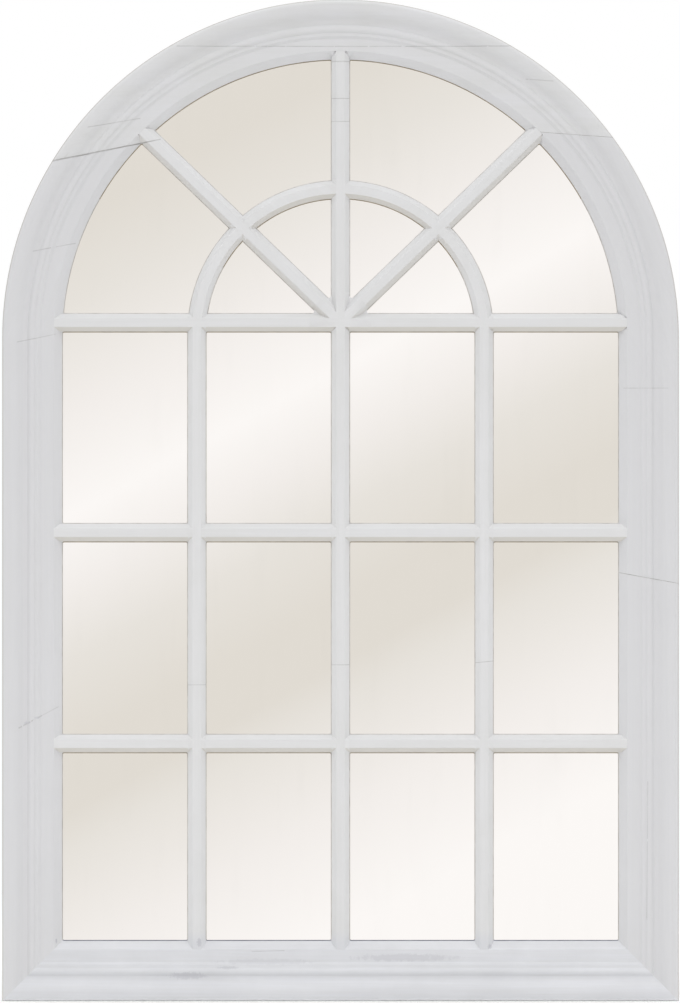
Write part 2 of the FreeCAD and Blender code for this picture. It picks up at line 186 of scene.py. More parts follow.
def newGroup(name, inputs, outputs):
    tree = bpy.data.node_groups.new(name, "ShaderNodeTree")
    for label, kind, value in inputs:
        socket = tree.interface.new_socket(label, in_out="INPUT", socket_type=socketKinds[kind])
        socket.default_value = value
    for label, kind in outputs:
        tree.interface.new_socket(label, in_out="OUTPUT", socket_type=socketKinds[kind])
    entry = tree.nodes.new("NodeGroupInput")
    end = tree.nodes.new("NodeGroupOutput")
    return tree, entry.outputs, end.inputs


def placeGroup(tree, group, inputs):
    node = tree.nodes.new("ShaderNodeGroup")
    node.node_tree = group
    for key, value in inputs.items():
        feed(tree, node.inputs[key], value)
    return node.outputs


# Effects that several finishes share

def makeBrushMarks():
    # strokes run along X of the vector that comes in
    tree, given, out = newGroup("brushMarks", [("Vector", "vector", (0, 0, 0))],
                                [("Strokes", "value"), ("Clouds", "value"), ("Height", "value")])
    strokes = noise(tree, stretched(tree, given["Vector"], (9, 330, 330)), 1.0, 3.0, 0.55)
    runs = noise(tree, stretched(tree, given["Vector"], (3, 60, 60)), 1.0, 2.0)
    clouds = noise(tree, given["Vector"], 14.0, 3.0, 0.6)
    fine = noise(tree, given["Vector"], 900.0, 2.0)
    height = calculate(tree, "MULTIPLY_ADD", fine, 0.35, strokes)
    feed(tree, out["Strokes"], remap(tree, strokes, 0.35, 0.65))
    feed(tree, out["Clouds"], remap(tree, calculate(tree, "ADD", clouds, runs), 0.75, 1.25))
    feed(tree, out["Height"], height)
    return tree


def makeHollowShade():
    # darker where two surfaces meet, found by ambient occlusion and broken into patches: painted shade in
    # the hollows
    tree, given, out = newGroup("hollowShade", [
        ("Vector", "vector", (0, 0, 0)), ("Reach", "value", 0.004), ("Patchiness", "value", 0.5),
    ], [("Mask", "value")])
    hollow = addNode(tree, "AmbientOcclusion", {"Distance": given["Reach"]}, samples=8)
    closed = remap(tree, hollow.outputs["AO"], 1.0, 0.35)
    patches = remap(tree, noise(tree, given["Vector"], 45.0, 3.0), 0.3, 0.7)
    kept = calculate(tree, "SUBTRACT", 1.0, given["Patchiness"])
    share = calculate(tree, "MULTIPLY_ADD", patches, given["Patchiness"], kept)
    feed(tree, out["Mask"], calculate(tree, "MULTIPLY", closed, share, clamp=True))
    return tree


def makeHairline():
    # a fine crack from one place to another, on the front of the frame
    tree, given, out = newGroup("hairline", [
        ("Vector", "vector", (0, 0, 0)), ("From", "vector", (0, 0, 0)), ("To", "vector", (0, 0, 0)),
        ("Width", "value", 0.001), ("Breaks", "value", 0.3), ("Waver", "value", 0.0006),
    ], [("Mask", "value")])

    def vectors(operation, *values):
        node = addNode(tree, "VectorMath", operation=operation)
        for socket, value in zip(node.inputs, values):
            feed(tree, socket, value)
        return node.outputs

    flat = (1, 0, 1)
    wander = addNode(tree, "TexNoise", {"Vector": given["Vector"], "Scale": 60.0, "Detail": 2.0})
    centred = vectors("SUBTRACT", wander.outputs["Color"], (0.5, 0.5, 0.5))[0]
    moved = addNode(tree, "VectorMath", operation="SCALE")
    feed(tree, moved.inputs[0], centred)
    feed(tree, moved.inputs["Scale"], given["Waver"])
    place = vectors("MULTIPLY", vectors("ADD", given["Vector"], moved.outputs[0])[0], flat)[0]
    run = vectors("SUBTRACT", given["To"], given["From"])[0]
    off = vectors("SUBTRACT", place, given["From"])[0]
    along = calculate(tree, "DIVIDE", vectors("DOT_PRODUCT", off, run)["Value"],
                      vectors("DOT_PRODUCT", run, run)["Value"], clamp=True)
    foot = addNode(tree, "VectorMath", operation="SCALE")
    feed(tree, foot.inputs[0], run)
    feed(tree, foot.inputs["Scale"], along)
    gap = vectors("LENGTH", vectors("SUBTRACT", off, foot.outputs[0])[0])["Value"]
    line = remap(tree, calculate(tree, "DIVIDE", gap, given["Width"]), 1.0, 0.2, kind="SMOOTHSTEP")
    broken = calculate(tree, "GREATER_THAN", noise(tree, given["Vector"], 170.0, 2.0), given["Breaks"])
    faded = remap(tree, noise(tree, given["Vector"], 40.0, 2.0), 0.3, 0.65, 0.45, 1.0)
    feed(tree, out["Mask"], calculate(tree, "MULTIPLY", calculate(tree, "MULTIPLY", line, broken),
                                      faded, clamp=True))
    return tree


def makeRubbedPatch():
    # a worn or smudged place, ragged at its rim
    tree, given, out = newGroup("rubbedPatch", [
        ("Vector", "vector", (0, 0, 0)), ("Centre", "vector", (0, 0, 0)),
        ("Size", "vector", (0.01, 0.01, 0.01)), ("Grain", "value", 120.0),
    ], [("Mask", "value")])
    off = addNode(tree, "VectorMath", operation="SUBTRACT")
    feed(tree, off.inputs[0], given["Vector"])
    feed(tree, off.inputs[1], given["Centre"])
    shaped = addNode(tree, "VectorMath", operation="DIVIDE")
    feed(tree, shaped.inputs[0], off.outputs[0])
    feed(tree, shaped.inputs[1], given["Size"])
    reach = addNode(tree, "VectorMath", operation="LENGTH")
    feed(tree, reach.inputs[0], shaped.outputs[0])
    ragged = calculate(tree, "MULTIPLY_ADD", noise(tree, given["Vector"], given["Grain"], 4.0, 0.65),
                       1.6, reach.outputs["Value"])
    feed(tree, out["Mask"], remap(tree, ragged, 1.7, 1.25, kind="SMOOTHSTEP"))
    return tree


def makeOuterRimShade():
    # the outer edge of the frame, straight sides below and a half circle above: the mask of the painted
    # shade along it
    tree, given, out = newGroup("outerRimShade", [("Vector", "vector", (0, 0, 0)), ("Width", "value", 0.002)],
                                [("Mask", "value")])
    part = addNode(tree, "SeparateXYZ", {"Vector": given["Vector"]}).outputs
    above = calculate(tree, "MAXIMUM", calculate(tree, "SUBTRACT", part["Z"], springing), 0.0)
    squares = calculate(tree, "ADD", calculate(tree, "POWER", above, 2.0),
                        calculate(tree, "MULTIPLY", part["X"], part["X"]))
    inset = calculate(tree, "SUBTRACT", halfWidth, calculate(tree, "SQRT", squares))
    share = calculate(tree, "DIVIDE", inset, given["Width"])
    edge = remap(tree, share, 1.0, 0.15, kind="SMOOTHSTEP")
    front = remap(tree, part["Y"], -0.008, -0.014)
    feed(tree, out["Mask"], calculate(tree, "MULTIPLY", edge, front))
    return tree


def makeWoodGrain():
    # fibres run along X of the vector that comes in
    tree, given, out = newGroup("woodGrain", [("Vector", "vector", (0, 0, 0)), ("Rings", "value", 60.0)],
                                [("Fibres", "value"), ("Bands", "value")])
    bent = noise(tree, stretched(tree, given["Vector"], (2, 12, 12)), 1.0, 2.0)
    across = addNode(tree, "SeparateXYZ", {"Vector": given["Vector"]}).outputs["Z"]
    phase = calculate(tree, "MULTIPLY", calculate(tree, "MULTIPLY_ADD", bent, 0.09, across),
                      given["Rings"])
    bands = calculate(tree, "PINGPONG", phase, 0.5)
    fibres = noise(tree, stretched(tree, given["Vector"], (25, 1400, 1400)), 1.0, 3.0, 0.6)
    feed(tree, out["Bands"], remap(tree, bands, 0.05, 0.45))
    feed(tree, out["Fibres"], remap(tree, fibres, 0.3, 0.7))
    return tree


def makeFineSpeckle():
    tree, given, out = newGroup("fineSpeckle", [("Vector", "vector", (0, 0, 0)), ("Scale", "value", 500.0),
                                                ("Amount", "value", 0.3)], [("Mask", "value")])
    grains = addNode(tree, "TexVoronoi", {"Vector": given["Vector"], "Scale": given["Scale"]})
    dots = calculate(tree, "LESS_THAN", grains.outputs["Distance"], given["Amount"])
    sparse = remap(tree, noise(tree, given["Vector"], 30.0, 2.0), 0.45, 0.65)
    feed(tree, out["Mask"], calculate(tree, "MULTIPLY", dots, sparse, clamp=True))
    return tree


brushMarks = makeBrushMarks()
hollowShade = makeHollowShade()
hairline = makeHairline()
rubbedPatch = makeRubbedPatch()
outerRimShade = makeOuterRimShade()
woodGrain = makeWoodGrain()
fineSpeckle = makeFineSpeckle()


# Off-white paint. Each board and bar has its own direction of brushing,
# and the marks that the photograph shows on it, in its pixels.
paint = {
    "boardTones": (colour(215, 215, 217), colour(213, 213, 215)),
    "crownTones": (colour(219, 219, 221), colour(215, 215, 215)),
    "barTones": (colour(223, 223, 224), colour(219, 219, 219)),
    "railTones": (colour(222, 223, 227), colour(214, 215, 219)),
    "paintedShadeLean": (-0.25, -0.65),    # how far a face leans down where painted shade darkens it
    "paintedShadeTone": colour(211, 208, 202),
    "stroke": colour(207, 207, 206),
    "strokeShare": 0.14,
    "railStrokeShare": 0.24,
    "footOfBars": (0.105, 0.086),   # the rail's paint runs up onto the feet of the bars
    "paintedLightFoot": (0.006, 0.0005),     # painted light along the foot of the frame, against the shade where it stands
    "worn": colour(244, 245, 248),
    "crack": colour(118, 115, 111),
    "rub": colour(190, 190, 196),
    # a darker tone along the outer edge: painted shade where the rounded edge turns away from the light
    "rim": colour(180, 178, 173),
    "rimShare": 0.9,
    "rimWidth": 0.0024,
    "roughness": (0.36, 0.5),
    "bump": 0.00022,
    "crackDepth": 1.5,
}

# name: x, y, x, y, width in pixels, strength, breaks
cracks = {
    "leftCrownSeam": (53, 161, 160, 139, 0.85, 0.75, 0.0),
    "capSeam": (177, 46, 513, 46, 0.7, 0.35, 0.35),
    "leftShoulderSeam": (17, 342, 55, 334, 0.7, 0.3, 0.35),
    "rightShoulderSeam": (624, 388, 668, 388, 0.7, 0.25, 0.35),
    "leftStileSeam": (19, 728, 41, 716, 1.1, 0.42, 0.5),
    "leftStileFaint": (41, 716, 58, 707, 0.8, 0.2, 0.3),
    "rightStileSeam": (621, 573, 662, 581, 0.8, 0.16, 0.2),
    "crownRight": (526, 79, 553, 81, 0.7, 0.3, 0.35),
    "crownLeft": (88, 127, 140, 118, 0.7, 0.4, 0.3),
    "haunchLeft": (33, 251, 75, 243, 0.7, 0.4, 0.35),
    "stileRight": (648, 780, 647, 920, 0.6, 0.3, 0.4),
    "railLine": (252, 952, 284, 951, 0.7, 0.25, 0.3),
    "centreBar": (330, 665, 351, 665, 0.6, 0.4, 0.0),
    "thirdBar": (474, 663, 496, 661, 0.6, 0.4, 0.0),
    "firstBar": (184, 685, 207, 685, 0.6, 0.35, 0.0),
    "spokeUpper": (330, 98, 351, 98, 0.6, 0.45, 0.0),
    "spokeLower": (330, 121, 351, 121, 0.6, 0.4, 0.0),
    "spokeEnd": (331, 61, 350, 61, 1.0, 0.4, 0.0),
}

# name: x, y, half width, half height in pixels, strength, grain
rubs = {
    "stileUpper": (37, 718, 4, 1.6, 0.5, 900),
    "stileLower": (27, 723, 5, 1.8, 0.5, 900),
    "cornerNick": (56, 941, 1.2, 3.2, 1.0, 500),
    "railLeft": (188, 976, 24, 5, 0.55, 260),
    "railMiddle": (405, 958, 66, 5, 0.45, 120),
    "railSecond": (265, 962, 60, 4, 0.3, 140),
    "railThird": (228, 968, 16, 2, 0.5, 300),
    "barFoot": (199, 943, 3, 6, 0.8, 500),
    "thirdFoot": (490, 947, 3, 3.5, 0.6, 500),
}


def onFront(x, y):
    across, up = fromPixel(x, y)
    return (across, 0, up)


def makePaint(name, grainAngle, tones, marks=()):
    material, tree, shader = newMaterial(name)
    place = objectPlace(tree)
    brushed = placeGroup(tree, brushMarks, {"Vector": stretched(tree, place, (1, 1, 1),
                                                                (0, grainAngle, 0))})
    tone = blendColours(tree, brushed["Clouds"], *paint[tones])
    height = addNode(tree, "SeparateXYZ", {"Vector": place}).outputs["Z"]
    if tones == "barTones":
        tone = blendColours(tree, remap(tree, height, *paint["footOfBars"]), tone,
                            paint["railTones"][1])
        # faces that lean down take a darker, warmer tone: painted shade on the undersides of the bars
        facing = addNode(tree, "NewGeometry").outputs["Normal"]
        lean = addNode(tree, "SeparateXYZ", {"Vector": facing}).outputs["Z"]
        tone = blendColours(tree, remap(tree, lean, *paint["paintedShadeLean"]), tone,
                            paint["paintedShadeTone"])
    if tones == "railTones":
        # the lowest few millimetres of the rail are painted pale: painted light that lifts the shade where
        # the frame stands
        tone = blendColours(tree, remap(tree, height, *paint["paintedLightFoot"]), tone, paint["worn"])
    streaks = paint["railStrokeShare" if tones == "railTones" else "strokeShare"]
    share = calculate(tree, "MULTIPLY", brushed["Strokes"], streaks)
    tone = blendColours(tree, share, tone, paint["stroke"])
    # painted shade along the outer edge of the frame
    rim = placeGroup(tree, outerRimShade, {"Vector": place, "Width": paint["rimWidth"]})["Mask"]
    tone = blendColours(tree, calculate(tree, "MULTIPLY", rim, paint["rimShare"]), tone, paint["rim"])
    cracked = 0.0
    for mark in marks:
        if mark in cracks:
            x1, y1, x2, y2, width, strength, breaks = cracks[mark]
            mask = placeGroup(tree, hairline, {
                "Vector": place, "From": onFront(x1, y1), "To": onFront(x2, y2),
                "Width": width * metresPerPixel, "Breaks": breaks})["Mask"]
            mask = calculate(tree, "MULTIPLY", mask, strength)
            tone = blendColours(tree, mask, tone, paint["crack"])
            cracked = calculate(tree, "ADD", mask, cracked)
        else:
            x, y, wide, high, strength, grain = rubs[mark]
            size = (wide * metresPerPixel, 1.0, high * metresPerPixel)
            mask = placeGroup(tree, rubbedPatch, {"Vector": place, "Centre": onFront(x, y),
                                                  "Size": size, "Grain": float(grain)})["Mask"]
            mask = calculate(tree, "MULTIPLY", mask, strength)
            tone = blendColours(tree, mask, tone, paint["rub"])
    feed(tree, shader.inputs["Base Color"], tone)
    low, high = paint["roughness"]
    feed(tree, shader.inputs["Roughness"], remap(tree, brushed["Clouds"], 0.0, 1.0, low, high))
    height = calculate(tree, "MULTIPLY_ADD", cracked, -paint["crackDepth"], brushed["Height"])
    addBump(tree, shader, height, paint["bump"])
    return material


paintOf = {}
for name, grainAngle, tones, marks in (
    ("uprightPaint", 90, "boardTones", ("leftStileSeam", "leftStileFaint", "rightStileSeam",
                                        "leftShoulderSeam", "rightShoulderSeam", "stileRight",
                                        "stileUpper", "stileLower", "cornerNick")),
    ("levelPaint", 0, "crownTones", ("leftCrownSeam", "capSeam", "crownRight", "crownLeft")),
    ("railPaint", 0, "railTones", ("railLine", "railLeft", "railMiddle", "railSecond",
                                   "railThird", "barFoot", "thirdFoot", "cornerNick")),
    ("leftHaunchPaint", 66, "boardTones", ("leftCrownSeam", "leftShoulderSeam", "haunchLeft")),
    ("rightHaunchPaint", -66, "boardTones", ("rightShoulderSeam",)),
    ("uprightBarPaint", 90, "barTones", ("centreBar", "thirdBar", "firstBar", "spokeUpper",
                                         "spokeLower", "spokeEnd", "barFoot", "thirdFoot")),
    ("levelBarPaint", 0, "barTones", ()),
    ("risingBarPaint", 44, "barTones", ()),
    ("fallingBarPaint", -44, "barTones", ("leftCrownSeam",)),
):
    paintOf[name] = makePaint(name, grainAngle, tones, marks)


def makeCrackedPaint():
    # the faces of the fine grooves between boards
    material, tree, shader = newMaterial("crackedPaint")
    place = objectPlace(tree)
    patches = remap(tree, noise(tree, place, 70.0, 3.0), 0.35, 0.65)
    tone = blendColours(tree, patches, colour(150, 148, 144), colour(190, 189, 187))
    feed(tree, shader.inputs["Base Color"], tone)
    shader.inputs["Roughness"].default_value = 0.7
    addBump(tree, shader, noise(tree, place, 900.0, 2.0), 0.0001)
    return material


def makeBareTimber(name, grainAngle, light, dark, primer, primerShare):
    # the back of the boards: sawn timber under a thin coat of primer
    material, tree, shader = newMaterial(name)
    place = objectPlace(tree)
    turned = stretched(tree, place, (1, 1, 1), (0, grainAngle, 0))
    grain = placeGroup(tree, woodGrain, {"Vector": turned})
    tone = blendColours(tree, grain["Bands"], light, dark)
    tone = blendColours(tree, calculate(tree, "MULTIPLY", grain["Fibres"], 0.35), tone, dark)
    thin = remap(tree, noise(tree, stretched(tree, turned, (5, 40, 40)), 1.0, 3.0), 0.35, 0.7,
                 primerShare - 0.15, primerShare)
    tone = blendColours(tree, thin, tone, primer)
    feed(tree, shader.inputs["Base Color"], tone)
    feed(tree, shader.inputs["Roughness"], remap(tree, grain["Fibres"], 0.0, 1.0, 0.6, 0.8))
    addBump(tree, shader, grain["Fibres"], 0.0002)
    return material


timber = {
    "light": colour(206, 178, 138),
    "dark": colour(176, 142, 100),
    "primer": colour(214, 212, 206),
    "dowelLight": colour(212, 180, 140),
    "dowelDark": colour(190, 152, 110),
}
crackedPaint = makeCrackedPaint()
uprightBack = makeBareTimber("uprightBack", 90, timber["light"], timber["dark"],
                             timber["primer"], 0.72)
levelBack = makeBareTimber("levelBack", 0, timber["light"], timber["dark"], timber["primer"], 0.72)
dowelTimber = makeBareTimber("dowelTimber", 90, timber["dowelLight"], timber["dowelDark"],
                             timber["dowelLight"], 0.1)


# The dark line where paint and mirror meet, partly a real gap and sealant and partly painted shade, toned
# by the side of the pane that it runs along
seatShadeTones = {
    "under": (colour(154, 140, 118), colour(176, 163, 142)),
    "over": (colour(208, 205, 201), colour(223, 221, 218)),
    "beside": (colour(199, 195, 189), colour(215, 212, 207)),
    "sill": (colour(122, 124, 138), colour(148, 150, 162)),
}


def makeSeatShadeLine(name, tones):
    material, tree, shader = newMaterial(name)
    place = objectPlace(tree)
    patches = remap(tree, noise(tree, place, 55.0, 3.0), 0.35, 0.65)
    feed(tree, shader.inputs["Base Color"], blendColours(tree, patches, *tones))
    feed(tree, shader.inputs["Roughness"], remap(tree, patches, 0.0, 1.0, 0.5, 0.65))
    return material


seatShadeLines = {side: makeSeatShadeLine(side + "Line", tones) for side, tones in seatShadeTones.items()}


def makeSilvered():
    material, tree, shader = newMaterial("silveredGlass")
    place = objectPlace(tree)
    haze = remap(tree, noise(tree, place, 7.0, 4.0, 0.6), 0.4, 0.7)
    wiped = remap(tree, noise(tree, stretched(tree, place, (30, 30, 4), (0, 35, 0)), 1.0, 3.0),
                  0.5, 0.75)
    film = calculate(tree, "MULTIPLY", haze, wiped)
    tone = blendColours(tree, film, (0.955, 0.952, 0.945, 1), (0.93, 0.928, 0.92, 1))
    feed(tree, shader.inputs["Base Color"], tone)
    shader.inputs["Metallic"].default_value = 1.0
    feed(tree, shader.inputs["Roughness"], remap(tree, film, 0.0, 1.0, 0.012, 0.05))
    # soft light that falls on the mirror comes back to the paint beside it
    path = addNode(tree, "LightPath")
    plain = addNode(tree, "BsdfDiffuse", {"Color": (0.9, 0.9, 0.89, 1)})
    mix = addNode(tree, "MixShader", {0: path.outputs["Is Diffuse Ray"], 1: shader.outputs[0],
                                      2: plain.outputs[0]})
    tree.links.new(mix.outputs[0], tree.nodes["Material Output"].inputs["Surface"])
    return material


def makeBackingPaint():
    material, tree, shader = newMaterial("mirrorBacking")
    place = objectPlace(tree)
    specks = placeGroup(tree, fineSpeckle, {"Vector": place, "Scale": 700.0})["Mask"]
    clouds = remap(tree, noise(tree, place, 12.0, 3.0), 0.3, 0.7)
    tone = blendColours(tree, clouds, colour(96, 104, 108), colour(112, 118, 120))
    tone = blendColours(tree, specks, tone, colour(140, 144, 144))
    feed(tree, shader.inputs["Base Color"], tone)
    feed(tree, shader.inputs["Roughness"], remap(tree, clouds, 0.0, 1.0, 0.45, 0.6))
    return material


def makeHardboard():
    material, tree, shader = newMaterial("hardboard")
    place = objectPlace(tree)
    fibres = noise(tree, place, 420.0, 6.0, 0.7)
    clouds = remap(tree, noise(tree, place, 9.0, 4.0), 0.3, 0.7)
    specks = placeGroup(tree, fineSpeckle, {"Vector": place, "Scale": 260.0, "Amount": 0.22})["Mask"]
    tone = blendColours(tree, clouds, colour(134, 99, 66), colour(150, 114, 78))
    tone = blendColours(tree, remap(tree, fibres, 0.35, 0.65, 0.0, 0.45), tone, colour(112, 80, 52))
    tone = blendColours(tree, calculate(tree, "MULTIPLY", specks, 0.5), tone, colour(92, 64, 42))
    feed(tree, shader.inputs["Base Color"], tone)
    feed(tree, shader.inputs["Roughness"], remap(tree, fibres, 0.3, 0.7, 0.5, 0.75))
    addBump(tree, shader, fibres, 0.0002)
    return material


def makeZinc():
    material, tree, shader = newMaterial("zincPlate")
    place = objectPlace(tree)
    flakes = addNode(tree, "TexVoronoi", {"Vector": place, "Scale": 420.0}).outputs["Color"]
    flake = addNode(tree, "SeparateColor", {"Color": flakes}).outputs[0]
    hollowShadeMask = placeGroup(tree, hollowShade, {"Vector": place, "Reach": 0.002})["Mask"]
    tone = blendColours(tree, flake, (0.38, 0.39, 0.41, 1), (0.52, 0.53, 0.54, 1))
    # the zinc takes a darker tone in its hollows: painted shade
    tone = blendColours(tree, hollowShadeMask, tone, (0.27, 0.26, 0.25, 1))
    feed(tree, shader.inputs["Base Color"], tone)
    shader.inputs["Metallic"].default_value = 1.0
    feed(tree, shader.inputs["Roughness"], remap(tree, flake, 0.0, 1.0, 0.28, 0.42))
    return material


def makeRubber():
    material, tree, shader = newMaterial("bumperRubber")
    place = objectPlace(tree)
    grain = noise(tree, place, 600.0, 3.0)
    dust = placeGroup(tree, fineSpeckle, {"Vector": place, "Scale": 900.0})["Mask"]
    tone = blendColours(tree, grain, colour(44, 44, 46), colour(60, 60, 61))
    tone = blendColours(tree, calculate(tree, "MULTIPLY", dust, 0.4), tone, colour(110, 108, 104))
    feed(tree, shader.inputs["Base Color"], tone)
    feed(tree, shader.inputs["Roughness"], remap(tree, grain, 0.3, 0.7, 0.6, 0.8))
    addBump(tree, shader, grain, 0.0001)
    return material


silvered, backingPaint = makeSilvered(), makeBackingPaint()
hardboard, zinc, rubber = makeHardboard(), makeZinc(), makeRubber()
print("finishes mixed")


# Working by hand on a mesh

def deselectAll():
    if bpy.context.object and bpy.context.object.mode != "OBJECT":
        bpy.ops.object.mode_set(mode="OBJECT")
    bpy.ops.object.select_all(action="DESELECT")


def makeActive(piece):
    deselectAll()
    piece.select_set(True)
    bpy.context.view_layer.objects.active = piece


def startEdit(piece, mode="VERT", selected="SELECT"):
    makeActive(piece)
    bpy.ops.object.mode_set(mode="EDIT")
    bpy.ops.mesh.select_mode(type=mode)
    bpy.ops.mesh.select_all(action=selected)


def leaveEdit():
    bpy.ops.object.mode_set(mode="OBJECT")


def settle(piece):
    makeActive(piece)
    bpy.ops.object.transform_apply(location=True, rotation=True, scale=True)


def drawLine(name, points):
    # one point, extruded from place to place
    deselectAll()
    bpy.ops.mesh.primitive_plane_add(size=0.001, location=points[0])
    piece = bpy.context.active_object
    piece.name = name
    startEdit(piece)
    bpy.ops.mesh.merge(type="CENTER")
    for start, end in zip(points, points[1:]):
        move = Vector(end) - Vector(start)
        bpy.ops.mesh.extrude_region_move(TRANSFORM_OT_translate={"value": move})
    bpy.ops.mesh.select_all(action="SELECT")
    bpy.ops.mesh.remove_doubles(threshold=1e-6)
    return piece


def drawBlock(name, corners, nearDepth, farDepth):
    # a block over a polygon of (x, z) corners, between two depths
    y = backPlane - nearDepth
    points = [(x, y, z) for x, z in corners]
    block = drawLine(name, points + points[:1])
    bpy.ops.mesh.edge_face_add()
    rise = (0, nearDepth - farDepth, 0)
    bpy.ops.mesh.extrude_region_move(TRANSFORM_OT_translate={"value": rise})
    bpy.ops.mesh.select_all(action="SELECT")
    bpy.ops.mesh.normals_make_consistent(inside=False)
    leaveEdit()
    settle(block)
    return block


def copyOf(piece, name):
    twin = piece.copy()
    twin.data = piece.data.copy()
    twin.name = name
    twin.parent = None
    scene.collection.objects.link(twin)
    return twin


def copyOfNode(node, name):
    # a CAD node's mesh is loose triangles, so its copy is merged and its flats made whole
    twin = copyOf(nodes[node], name)
    twin.data.materials.clear()
    startEdit(twin)
    bpy.ops.mesh.remove_doubles(threshold=1e-5)
    bpy.ops.mesh.dissolve_limited(angle_limit=math.radians(0.5))
    leaveEdit()
    return twin


def joined(name, pieces):
    deselectAll()
    for piece in pieces:
        piece.select_set(True)
    bpy.context.view_layer.objects.active = pieces[0]
    bpy.ops.object.join()
    pieces[0].name = name
    return pieces[0]


def cutWith(piece, cutter, operation):
    makeActive(piece)
    step = piece.modifiers.new("cut", "BOOLEAN")
    step.object = cutter
    step.operation = operation
    step.solver = "EXACT"
    bpy.ops.object.modifier_apply(modifier=step.name)


def discard(*pieces):
    for piece in pieces:
        bpy.data.objects.remove(piece, do_unlink=True)


def selectFaces(piece, chosen):
    startEdit(piece, "FACE", "DESELECT")
    leaveEdit()
    for face in piece.data.polygons:
        face.select = chosen(face)


def paintFaces(piece, slot, chosen):
    for face in piece.data.polygons:
        if chosen(face):
            face.material_index = slot


def bevelEdges(piece, chosen, width, segments, slot=-1, clamp=False):
    # chosen(ends of the edge, normals of its two faces) says which edges are eased
    mesh = piece.data
    startEdit(piece, "EDGE", "DESELECT")
    leaveEdit()
    facesOf = {}
    for face in mesh.polygons:
        for pair in face.edge_keys:
            facesOf.setdefault(tuple(sorted(pair)), []).append(face.normal.copy())
    found = 0
    for edge in mesh.edges:
        normals = facesOf.get(tuple(sorted(edge.vertices)), [])
        ends = [mesh.vertices[i].co for i in edge.vertices]
        edge.select = len(normals) == 2 and chosen(ends, normals)
        found += edge.select
    if found:
        bpy.ops.object.mode_set(mode="EDIT")
        bpy.ops.mesh.bevel(offset=width, segments=segments, affect="EDGES", material=slot,
                           clamp_overlap=clamp)
        leaveEdit()


def finishShading(piece, degrees=35):
    # round faces shade round, and flats keep their own direction beside them
    makeActive(piece)
    bpy.ops.object.shade_smooth_by_angle(angle=math.radians(degrees))
    # a board's joint faces keep out of it, or the mouldings would lean towards them
    for face in piece.data.polygons:
        if len(face.vertices) > 40 and abs(face.normal.y) < 0.5:
            face.use_smooth = False
            for corner in face.loop_indices:
                piece.data.edges[piece.data.loops[corner].edge_index].use_edge_sharp = True
    step = piece.modifiers.new("flats", "WEIGHTED_NORMAL")
    step.keep_sharp = True
    step.weight = 90
    bpy.ops.object.modifier_apply(modifier=step.name)


def stand(piece, standsFor):
    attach(piece, body)
    if standsFor:
        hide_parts(standsFor)


def arcPoints(centre, radius, start, end, steps):
    angles = [math.radians(start + (end - start) * i / steps) for i in range(steps + 1)]
    return [(centre[0] + radius * math.cos(a), centre[1] + radius * math.sin(a)) for a in angles]


def pieceName(node, last=""):
    first, *rest = node.split("_")
    return first + "".join(word.capitalize() for word in rest) + last


# The frame's moulding
moulding = {
    "depth": 0.034,
    "edgeRound": 0.007,
    "crestEnd": 0.010,
    "valley": (0.037, 0.0245),
    "convexRadius": 0.027,
    "bead": (0.0375, 0.049, 0.0026),
    "ledgeEnd": 0.0535,
    "band": (0.0575, 0.076, 0.022),
    "sight": 0.088,
    "foot": 0.0025,
    "glassRebate": 0.080,
    "boardRebate": (0.066, 0.006),
    "archSteps": 120,
    "arris": 0.0004,
}


def ogeePoints():
    crest, depth = moulding["crestEnd"], moulding["depth"]
    foot = moulding["valley"]
    run, fall = foot[0] - crest, depth - foot[1]
    turn = 2 * math.atan2(fall, run)
    convex = moulding["convexRadius"]
    hollow = run / math.sin(turn) - convex
    steps = 7
    angles = [turn * i / steps for i in range(steps + 1)]
    upper = [(crest + convex * math.sin(a), depth - convex * (1 - math.cos(a))) for a in angles]
    lower = [(foot[0] - hollow * math.sin(a), foot[1] + hollow * (1 - math.cos(a)))
             for a in reversed(angles[:-1])]
    return upper + lower


def beadPoints():
    low, high, rise = moulding["bead"]
    floor = moulding["valley"][1]
    half = (high - low) / 2
    radius = (half ** 2 + rise ** 2) / (2 * rise)
    spread = math.degrees(math.asin(half / radius))
    centre = ((low + high) / 2, floor + rise - radius)
    return arcPoints(centre, radius, 90 + spread, 90 - spread, 8)


def eased(corner, before, after, width):
    # the corner's two sides, each cut back, with one point between them
    here, first, last = Vector(corner), Vector(before), Vector(after)
    a = here + (first - here).normalized() * width
    b = here + (last - here).normalized() * width
    return [tuple(a), tuple((a + b) / 2 * 0.5 + here * 0.5), tuple(b)]


def mouldingSection():
    m = moulding
    edge = m["edgeRound"]
    outer = arcPoints((edge, m["depth"] - edge), edge, 180, 90, 6)
    ledge = (m["ledgeEnd"], m["valley"][1])
    rise = (m["band"][0], m["band"][2])
    fall = (m["band"][1], m["band"][2])
    foot = (m["sight"], glassDepth + m["foot"])
    beads = beadPoints()
    inner = [
        *eased(ledge, beads[-1], rise, m["arris"]),
        *eased(rise, ledge, fall, m["arris"]),
        *eased(fall, rise, foot, m["arris"] * 2),
        *eased(foot, fall, (foot[0], glassDepth), m["arris"]),
        (m["sight"], glassDepth),
        (m["glassRebate"], glassDepth),
        (m["glassRebate"], m["boardRebate"][1]),
        m["boardRebate"],
        (m["boardRebate"][0], 0),
        (0, 0),
    ]
    return outer + ogeePoints() + beads + inner


def closeEnds(piece):
    startEdit(piece, "EDGE", "DESELECT")
    bpy.ops.mesh.select_non_manifold()
    bpy.ops.mesh.edge_face_add()
    bpy.ops.mesh.select_all(action="SELECT")
    bpy.ops.mesh.normals_make_consistent(inside=False)
    leaveEdit()


